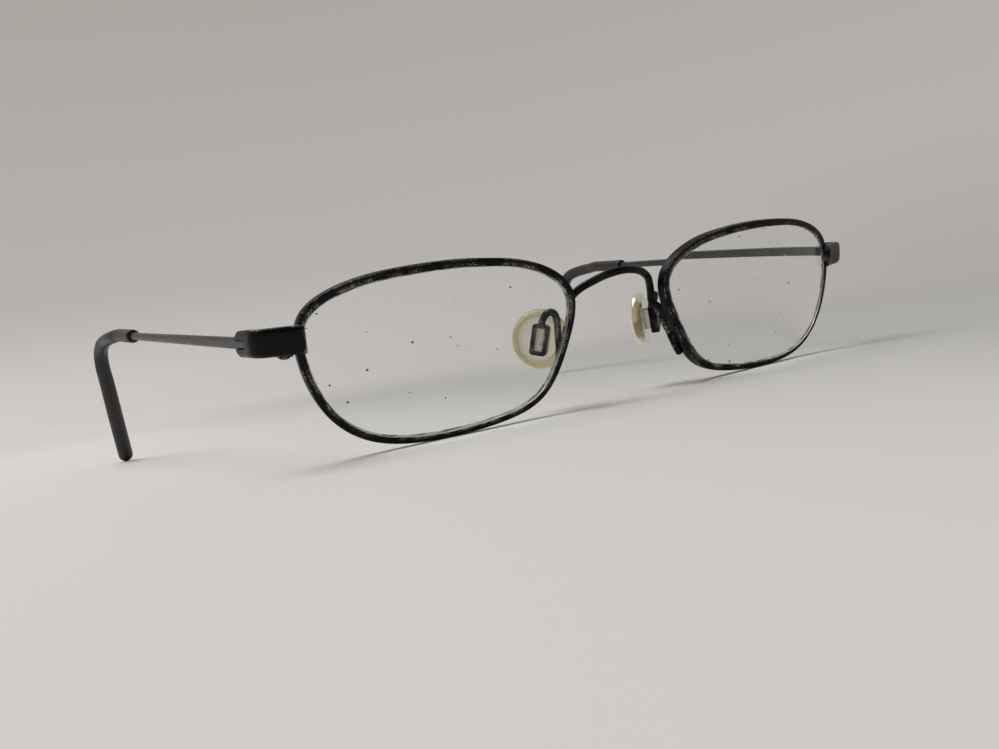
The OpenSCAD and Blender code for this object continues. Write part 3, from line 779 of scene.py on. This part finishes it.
# %% Lens faces and ground edge
LENS_FRONT_Y = -1.85
LENS_FRONT_R = 85.0
LENS_BACK_R = 124.5
LENS_T = 2.8
RIDGE = 0.38
LENS_RINGS = 18
LENS_STEPS = 14
SAFETY = 0.994
BEVEL_AT = 0.982
BEVEL_DEEP = 0.16


def face_y(r, back):
    radius = LENS_BACK_R if back else LENS_FRONT_R
    start = LENS_FRONT_Y + (LENS_T if back else 0)
    return start + radius - math.sqrt(radius**2 - r * r)


def face_ring(share, back):
    found = []
    for i in range(SPANS * LENS_STEPS):
        s = i / LENS_STEPS
        q = (edge(s) - edge_out(s) * (GROOVE + 0.05)) * share
        found.append(eye(q.x, q.y, face_y(q.length, back)))
    return found


def edge_ring(out, deep, back=None):
    found = []
    for i in range(SPANS * LENS_STEPS):
        s = i / LENS_STEPS
        p = edge(s)
        q = p + edge_out(s) * out
        y = base_sag(p) + deep if back is None else face_y(q.length, back) + deep
        found.append(eye(q.x, q.y, y))
    return found


def make_lens(side):
    steps = [math.sin(math.pi / 2 * (k + 0.6) / (LENS_RINGS + 0.6)) for k in range(LENS_RINGS + 1)]
    wall = -GROOVE - 0.05
    bm = bmesh.new()
    front = skin(bm, [face_ring(SAFETY * k, False) for k in steps], caps=False)
    back = skin(bm, [face_ring(BEVEL_AT * k, True) for k in reversed(steps)], caps=False)
    ground = [edge_ring(wall, 0.09, False), edge_ring(wall, -RIDGE), edge_ring(-0.04, 0)]
    ground += [edge_ring(wall, RIDGE), edge_ring(wall, -BEVEL_DEEP, True)]
    rows = skin(bm, ground, caps=False, finish=1)
    for a, b in ((front[-1], rows[0]), (rows[-1], back[0])):
        for j in range(len(a)):
            k = (j + 1) % len(a)
            bm.faces.new((a[j], a[k], b[k], b[j])).material_index = 1
    for row, deep in ((front[0], False), (back[-1], True)):
        middle = bm.verts.new(eye(0, 0, face_y(0, deep)))
        for j in range(len(row)):
            bm.faces.new((row[j], row[(j + 1) % len(row)], middle))
    stand_up(bm, side == "left")
    return make_piece(side + "_lens_resin", bm, [side + "_lens"], "front", ["lens", "lens_ground"])


for side in SIDES:
    made = make_lens(side)
    print(made.name, len(made.data.vertices), "points")

# %% [markdown]
# ## Bridge
# The bridge is one round wire, bent to an arch and brazed to the back of both rims. The braze draws up
# round the wire as a small fillet, so the wire swells a little over its last millimetre.

# %% Bridge wire
BRIDGE_D = 1.4
BRIDGE_TOP = 5.4
BRIDGE_MID = Vector((0, -2.07, BRIDGE_TOP))
BRIDGE_HALF = [(2.15, -1.87, 0.2), (4.15, -1.28, 0.72), (5.95, -0.37, 1.56), (7.5, 0.75, 2.55)]
BRIDGE_HALF += [(8.6, 1.72, 3.85), (9.1, 2.1, 5.5), (9.45, 2.3, 7.2)]
BRIDGE_FOOT = [rim_at(s, 0.3, RIM_DEEP / 2 + BRIDGE_D / 2 - 0.04) for s in (7.76, 7.94)]


def make_bridge():
    arch = [Vector((x, y, BRIDGE_TOP - drop)) for x, y, drop in BRIDGE_HALF] + BRIDGE_FOOT
    mirrored = [Vector((-p.x, p.y, p.z)) for p in reversed(arch)]
    path = through(mirrored + [BRIDGE_MID] + arch, 12)
    last = len(path) - 1

    def radius(i):
        from_end = min((path[i] - path[0]).length, (path[i] - path[last]).length)
        return BRIDGE_D / 2 + 0.16 * max(0.0, 1 - from_end / 1.3) ** 2

    bm = bmesh.new()
    skin(bm, wire_rings(path, radius, (0, -1, 0.3), 28))
    stand_up(bm, True)
    return make_piece("bridge_arch", bm, ["bridge_wire"], "front", ["black_metal"])


made = make_bridge()
print(made.name, len(made.data.vertices), "points")

# %% [markdown]
# ## Endpieces and hinge plates
# The endpiece is a stamped plate, bent round the corner from the rim to the hinge. Behind it the same
# plate goes on as the paddle of the temple, so that the two look like one when the pair is open. Their
# outer face is slightly crowned, with a soft bevel above and below. The paddle's slot for the bar is
# cut out of it, as a saw would cut it.

# %% Plate section
PLATE_H = 4.4
PLATE_Z = 1.4
PLATE_IN = Vector((RIM_SIDE_X - 1.36, 2.7694))
BUTT_H = 4.35
BUTT_Z = 1.15
BUTT_GAP = 0.06
TAIL_H = BUTT_H - 0.2
TAIL_Y = 13.3
TAIL_X = BUTT_X + 0.4
TAIL_Z = 0.47


def plate_ring(point, way, high, inset=0.0):
    out = Vector((way.y, -way.x, 0)).normalized()
    a, b = PLATE_T / 2 - inset, high / 2 - inset
    upper = [(-a + 0.12, b), (a - 0.46, b), (a - 0.38, b - 0.03), (a - 0.3, b - 0.1)]
    upper += [(a - 0.12, b - 0.38), (a - 0.05, b - 0.52), (a - 0.01, b - 0.7), (a + 0.03, b - 1.2)]
    lower = [(x, -y) for x, y in reversed(upper)]
    section = [(-a, b - 0.12), (-a + 0.035, b - 0.035)] + upper + [(a + 0.05, 0)] + lower
    section += [(-a + 0.035, -b + 0.035), (-a, -b + 0.12)]
    return [point + out * x + Vector((0, 0, y)) for x, y in section]


def plate_rings(plan, height, middle):
    rings = []
    last = len(plan) - 1
    for i, (x, y) in enumerate(plan):
        before, after = plan[max(i - 1, 0)], plan[min(i + 1, last)]
        way = Vector((after[0] - before[0], after[1] - before[1], 0)).normalized()
        if i == last:
            way = Vector((0, 1, 0))
        rings.append((Vector((x, y, middle(y))), way, height(y)))
    return rings


def closed_plate(bm, stations, inset=0.07):
    first, last = stations[0], stations[-1]
    rings = [plate_ring(*first, inset)]
    rings.append(plate_ring(first[0] + first[1] * inset, first[1], first[2]))
    rings += [plate_ring(*s) for s in stations[1:-1]]
    rings.append(plate_ring(last[0] - last[1] * inset, last[1], last[2]))
    rings.append(plate_ring(*last, inset))
    skin(bm, rings)


def mix(a, b, t):
    return a + (b - a) * t


# %% Endpiece
BEND_C = Vector((RIM_SIDE_X + 2.68, 7.72))
BEND_R = 2.95
BEND_FROM = math.radians(-66.8)
BEND_TO = math.radians(-10.5)
BEND_STEPS = 18


def along_endpiece(y):
    return (y - PLATE_IN.y) / (BUTT_Y - PLATE_IN.y)


def make_endpiece(side):
    bend = []
    for k in range(BEND_STEPS + 1):
        a = mix(BEND_FROM, BEND_TO, k / BEND_STEPS)
        bend.append(BEND_C + BEND_R * Vector((math.cos(a), math.sin(a))))
    plan = [PLATE_IN.lerp(bend[0], k / 6) for k in range(6)] + bend
    plan.append(Vector((BUTT_X, BUTT_Y - BUTT_GAP / 2)))
    stations = plate_rings(
        plan,
        lambda y: mix(PLATE_H, BUTT_H, along_endpiece(y)),
        lambda y: mix(PLATE_Z, BUTT_Z, along_endpiece(y)),
    )
    bm = bmesh.new()
    closed_plate(bm, stations)
    stand_up(bm, side == "left")
    return make_piece(side + "_endpiece_plate", bm, [side + "_endpiece"], "front", ["black_metal"])


for side in SIDES:
    made = make_endpiece(side)
    print(made.name, len(made.data.vertices), "points")

# %% Paddle with its slot
SLOT_AT = Vector((TAIL_X, TAIL_Y + 0.02, TAIL_Z))
SLOT_WAY = Vector((0.28, 4, -0.38)).normalized()
SLOT_H = 1.5
SLOT_RUN = 4.1


def aim(point, way, up):
    z = Vector(way).normalized()
    x = Vector(up).cross(z).normalized()
    axes = Matrix((x, z.cross(x), z)).transposed().to_4x4()
    return Matrix.Translation(Vector(point)) @ axes


def cut_away(bm, cutter):
    made = []
    for name, part in (("blank", bm), ("cutter", cutter)):
        mesh = bpy.data.meshes.new(name)
        bmesh.ops.recalc_face_normals(part, faces=part.faces)
        part.to_mesh(mesh)
        part.free()
        made.append(bpy.data.objects.new(name, mesh))
        bpy.context.scene.collection.objects.link(made[-1])
    blank, tool = made
    cut = blank.modifiers.new("cut", "BOOLEAN")
    cut.operation = "DIFFERENCE"
    cut.solver = "EXACT"
    cut.object = tool
    found = bmesh.new()
    found.from_object(blank, bpy.context.evaluated_depsgraph_get())
    bpy.data.objects.remove(blank)
    bpy.data.objects.remove(tool)
    return found


ROUND_OFF = [(-2.4, 0), (-1.6, 0.01), (-1.1, 0.03), (-0.85, 0.05), (-0.6, 0.14), (-0.4, 0.26), (-0.24, 0.4)]
ROUND_OFF += [(-0.13, 0.52), (-0.05, 0.68), (0, 0.85)]


def make_paddle(side):
    start = BUTT_Y + BUTT_GAP / 2
    stations = []
    for y, cut in [(start, 0), (start + 0.6, 0)] + [(TAIL_Y + back, cut) for back, cut in ROUND_OFF]:
        t = (y - BUTT_Y) / (TAIL_Y - BUTT_Y)
        centre = Vector((mix(BUTT_X, TAIL_X, t), y, mix(BUTT_Z, TAIL_Z, t)))
        stations.append((centre, Vector((0, 1, 0)), mix(BUTT_H, TAIL_H, t) - cut))
    bm = bmesh.new()
    closed_plate(bm, stations, 0.05)
    saw = bmesh.new()
    size = Matrix.Diagonal((4.0, SLOT_H, SLOT_RUN + 1.0, 1))
    middle = Matrix.Translation((0, 0, (1.0 - SLOT_RUN) / 2))
    bmesh.ops.create_cube(saw, size=1.0, matrix=aim(SLOT_AT, SLOT_WAY, (0, 0, 1)) @ middle @ size)
    bm = cut_away(bm, saw)
    stand_up(bm, side == "left")
    nodes = [side + "_temple_paddle"]
    return make_piece(side + "_paddle_plate", bm, nodes, side + "_temple", ["black_metal"], 0.4)


for side in SIDES:
    made = make_paddle(side)
    print(made.name, len(made.data.vertices), "points")

# %% [markdown]
# ## Hinges and closing blocks
# These are the smallest parts: three turned barrels on one screw, their leaves, and the two halves of
# the closing block. Their solids are already exact, with true bores, so they are kept and only get the
# rounded edges that tumbling gives real ones, 0.03 to 0.1 mm wide.

# %% Small metal parts
SMALL = {"lock_upper": 0.1, "lock_lower": 0.1, "hinge_front": 0.05, "hinge_rear": 0.05}
SCREWS = {"lock_screw": 0.03, "hinge_screw": 0.03}


def body_of(node):
    groups = frame["record"]["behaviour"]["bodies"]
    return next(body for body, members in groups.items() if node in members)


for side in SIDES:
    for part, width in {**SMALL, **SCREWS}.items():
        node = f"{side}_{part}"
        slot = "screw" if part in SCREWS else "black_metal"
        made = make_piece(node + "_turned", rounded(node, width), [node], body_of(node), [slot])
        print(made.name, len(made.data.vertices), "points")

# %% [markdown]
# ## Temples
# A temple is a flat wire at the hinge, where it is brazed into the paddle's slot, and turns round
# towards the ear. An acetate tip is pushed over its end and bent behind the ear. The bar is a skin over
# rounded rectangles that become circles. The tip is a tube with a real bore, so that the bar is seen to
# enter it, and its collar is rounded over.

# %% Bars
EAR_Y = 113.0
EAR_Z = -9.95
SLEEVE_Y = EAR_Y - 25.5
BAR_W = 1.0
BAR_H = 1.85
BAR_END_R = 0.825
TENON_H = 1.36
TIP_START = Vector((68.08, SLEEVE_Y, EAR_Z + 3.5))
BAR_START = Vector((TAIL_X, TAIL_Y + 0.06, TAIL_Z + 0.12))
BAR_WAY = (TIP_START - BAR_START).normalized()
BAR_IN = 14.0


def make_bar(side):
    up = (0, 0, 1)
    tenon = [SLOT_AT - SLOT_WAY * d for d in (SLOT_RUN - 0.11, SLOT_RUN - 0.17, 0.7, 0.0)]
    rings = [ring(tenon[0], SLOT_WAY, up, BAR_W / 2 - 0.06, TENON_H / 2 - 0.06, 32, 5)]
    rings += [ring(p, SLOT_WAY, up, BAR_W / 2, TENON_H / 2, 32, 5) for p in tenon[1:]]
    run = (TIP_START - BAR_START).length
    for k in range(41):
        t = (k / 40) ** 1.3
        p = BAR_START + BAR_WAY * (0.1 + (run - 0.1) * t)
        wide, high = mix(BAR_W / 2, BAR_END_R, t), mix(BAR_H / 2, BAR_END_R, t)
        rings.append(ring(p, BAR_WAY, up, wide, high, 32, mix(5, 2, min(1.0, t * 1.4))))
    rings.append(ring(TIP_START + BAR_WAY * BAR_IN, BAR_WAY, up, BAR_END_R, BAR_END_R, 32))
    bm = bmesh.new()
    skin(bm, rings)
    stand_up(bm, side == "left")
    nodes = [side + "_temple_bar"]
    return make_piece(side + "_bar_wire", bm, nodes, side + "_temple", ["gunmetal"])


for side in SIDES:
    made = make_bar(side)
    print(made.name, len(made.data.vertices), "points")

# %% Tips
TIP_DROP = 46.3
SLEEVE_R = 1.5
TIP_R = 1.85
TIP_STRAIGHT = 12.4
TIP_RUN = 12
TIP_END = Vector((68, EAR_Y + 19.9, -TIP_DROP + TIP_R))
TIP_LOW = TIP_END + Vector((0.115, -0.33, 0.94)).normalized() * TIP_RUN
TIP_BENDS = [(69.95, -7, 1.35), (70.4, 0.5, -0.2), (70.9, 6.3, -2.1)]
TIP_BENDS += [(71.2, 9.7, -5), (71.1, 11, -8.7), (70.55, 12.4, -13)]
BORE_R = BAR_END_R + 0.02
BORE_DEEP = 14.2
COLLAR_R = 0.35
WIDER_FROM = 16


def make_tip(side):
    route = [TIP_START, TIP_START + BAR_WAY * 7, TIP_START + BAR_WAY * 14.5]
    route += [Vector((x, EAR_Y + y, EAR_Z + z)) for x, y, z in TIP_BENDS]
    straight = (TIP_LOW - TIP_END).normalized()
    path = through(route + [TIP_LOW], 9)
    path += [TIP_END + straight * TIP_RUN * (1 - k / 8) for k in range(1, 9)]
    lengths = [0.0]
    for a, b in zip(path, path[1:]):
        lengths.append(lengths[-1] + (b - a).length)
    full = lengths[-1] - TIP_STRAIGHT

    def radius(i):
        t = max(0.0, min(1.0, (lengths[i] - WIDER_FROM) / (full - WIDER_FROM)))
        return mix(SLEEVE_R, TIP_R, t * t * (3 - 2 * t))

    up = (1, 0, 0.1)
    skin_rings = wire_rings(path, radius, up, 32)[DOME_STEPS - 1 :]
    collar = []
    for k in range(6):
        a = math.pi / 2 * k / 5
        r = SLEEVE_R - COLLAR_R * (1 - math.sin(a))
        place = TIP_START + BAR_WAY * (COLLAR_R - COLLAR_R * math.cos(a))
        collar.append(ring(place, BAR_WAY, up, r, r, 32))
    bore = [ring(TIP_START + BAR_WAY * d, BAR_WAY, up, BORE_R, BORE_R, 32) for d in (BORE_DEEP, 0.12)]
    bore.append(ring(TIP_START, BAR_WAY, up, BORE_R + 0.12, BORE_R + 0.12, 32))
    bm = bmesh.new()
    skin(bm, bore + collar + skin_rings[1:])
    stand_up(bm, side == "left")
    nodes = [side + "_temple_tip"]
    return make_piece(side + "_tip_acetate", bm, nodes, side + "_temple", ["tip"])


for side in SIDES:
    made = make_tip(side)
    print(made.name, len(made.data.vertices), "points")

# %% [markdown]
# ## Pad arms, boxes and pads
# A thin wire is brazed along the rim, loops forward of the pad and ends in a small open box. The stem of
# the pad snaps into that box by two nibs, and rocks on them. The box and the stem keep their exact
# solids with rounded edges. The pad is turned from a profile with a raised ring at its back, and the
# pocket for the plug's plate is cut out of it.

# %% Pad arms
PAD_N = Vector((-0.68, 0.726, -0.1)).normalized()
PAD_LONG = Vector((-0.2, -0.06, 1))
PAD_U = PAD_N.cross(PAD_LONG).cross(PAD_N).normalized()
BOX_C = Vector((13.56, 6.86, -5.9))
BOX_W = 3.0
BOX_L = 5.4
BOX_BAR = 0.7
BOX_DEEP = 1.5
ARM_R = 0.65
ARM_BENDS = [(12.8, 1.7, -7.9), (12.45, 2.1, -6.86), (12.1, 2.8, -5.42), (11.7, 3.5, -3.79)]
ARM_BENDS += [(11.42, 4.05, -2.47), (11.63, 4.4, -1.41), (12.14, 4.75, -1.06)]
ARM_BENDS += [(12.7, 5.32, -1.31), (13.0, 5.85, -1.98)]


def make_arm(side):
    foot = [rim_at(s, RIM_OUT + 0.15, RIM_DEEP / 2 + 0.3) for s in (8.68, 8.5, 8.32)]
    route = foot + ARM_BENDS + [BOX_C + PAD_U * (BOX_L / 2 + 0.5), BOX_C + PAD_U * (BOX_L / 2 - 0.03)]
    path = through(route, 8)

    def radius(i):
        at_rim = max(0.0, 1 - (path[i] - foot[0]).length / 3)
        at_box = max(0.0, 1 - (len(path) - 1 - i) / 6)
        return ARM_R + 0.1 * at_rim + 0.12 * at_box

    rings = [ring(path[i], way_at(path, i), PAD_N, radius(i), radius(i), 18) for i in range(len(path))]
    first = wire_rings(path, radius, PAD_N, 18)[: DOME_STEPS - 1]
    bm = bmesh.new()
    skin(bm, first + rings)
    stand_up(bm, side == "left")
    return make_piece(side + "_arm_wire", bm, [side + "_pad_arm"], "front", ["black_metal"])


for side in SIDES:
    print(make_arm(side).name)
    for part, width, slot in (("pad_box", 0.12, "black_metal"), ("pad_stem", 0.08, "stem")):
        node = f"{side}_{part}"
        print(make_piece(node + "_moulded", rounded(node, width), [node], body_of(node), [slot]).name)

# %% Pads
PAD_R = 5.2
PAD_HALF = 1.3
PAD_OFF = 2.9
PAD_BACK = 0.4
PAD_DOWN = 0.15
PLUG_W = 2.6
PLUG_L = 4.6
PAD_ROCK = math.radians(8)
STEM_W = 2 * (BOX_W / 2 - BOX_BAR - 0.1 - BOX_DEEP / 2 * math.sin(PAD_ROCK)) / math.cos(PAD_ROCK)
STEM_L = BOX_L - 2 * BOX_BAR - 0.2
PAD_TURN = 96
OILED_FROM = 3.3


def pad_profile():
    r, a = PAD_R, PAD_HALF
    back = [(0.9, -a + 0.24), (2.2, -a + 0.2), (r - 1.75, -a + 0.17), (r - 1.4, -a + 0.1)]
    back.append((r - 1.05, -a + 0.01))
    side = [(r - 0.75, -a + 0.03), (r - 0.45, -a + 0.18), (r - 0.2, -a + 0.45)]
    side += [(r - 0.04, -0.42), (r, -0.1)]
    face = [(r - 0.05, 0.25), (r - 0.22, 0.58), (r - 0.5, 0.82), (r - 0.95, 1.02)]
    face += [(r - 1.8, a - 0.11), (1.7, a - 0.03), (0.8, a)]
    return through([Vector((x, y, 0)) for x, y in back + side + face], 3)


def box_cut(wide, long, low, high):
    cutter = bmesh.new()
    size = Matrix.Diagonal((wide, long, high - low, 1))
    bmesh.ops.create_cube(cutter, size=1.0, matrix=Matrix.Translation((0, 0, (low + high) / 2)) @ size)
    return cutter


def make_pad(side):
    bm = bmesh.new()
    turns = [2 * math.pi * k / PAD_TURN for k in range(PAD_TURN)]
    rings = []
    for p in pad_profile():
        around = [(p.x * math.cos(a) - PAD_BACK, p.x * math.sin(a) - PAD_DOWN) for a in turns]
        rings.append([Vector((x, y, p.y)) for x, y in around])
    skin(bm, rings)
    bm = cut_away(bm, box_cut(PLUG_W + 0.04, PLUG_L + 0.04, -1.02, -0.28))
    bm = cut_away(bm, box_cut(STEM_W + 0.04, STEM_L + 0.04, -PAD_HALF - 1, -0.5))
    outer = bm.verts.layers.float.new("outer")
    for v in bm.verts:
        reach = math.hypot(v.co.x + PAD_BACK, v.co.y + PAD_DOWN)
        v[outer] = min(1.0, max(0.0, (reach - OILED_FROM) / (PAD_R - OILED_FROM)))
    into_box = aim(BOX_C, PAD_N, PAD_U) @ Matrix.Translation((0, 0, PAD_OFF))
    bm.transform(into_box)
    stand_up(bm, side == "left")
    made = make_piece(side + "_soft_pad", bm, [side + "_nose_pad"], side + "_pad", ["pad"])
    return made


for side in SIDES:
    made = make_pad(side)
    print(made.name, len(made.data.vertices), "points")

# %% Sizes and the end
made_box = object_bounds()
for name, corners in (("packed", cad_box), ("dressed", made_box)):
    print(name, [[round(v / MM, 2) for v in corner] for corner in corners])
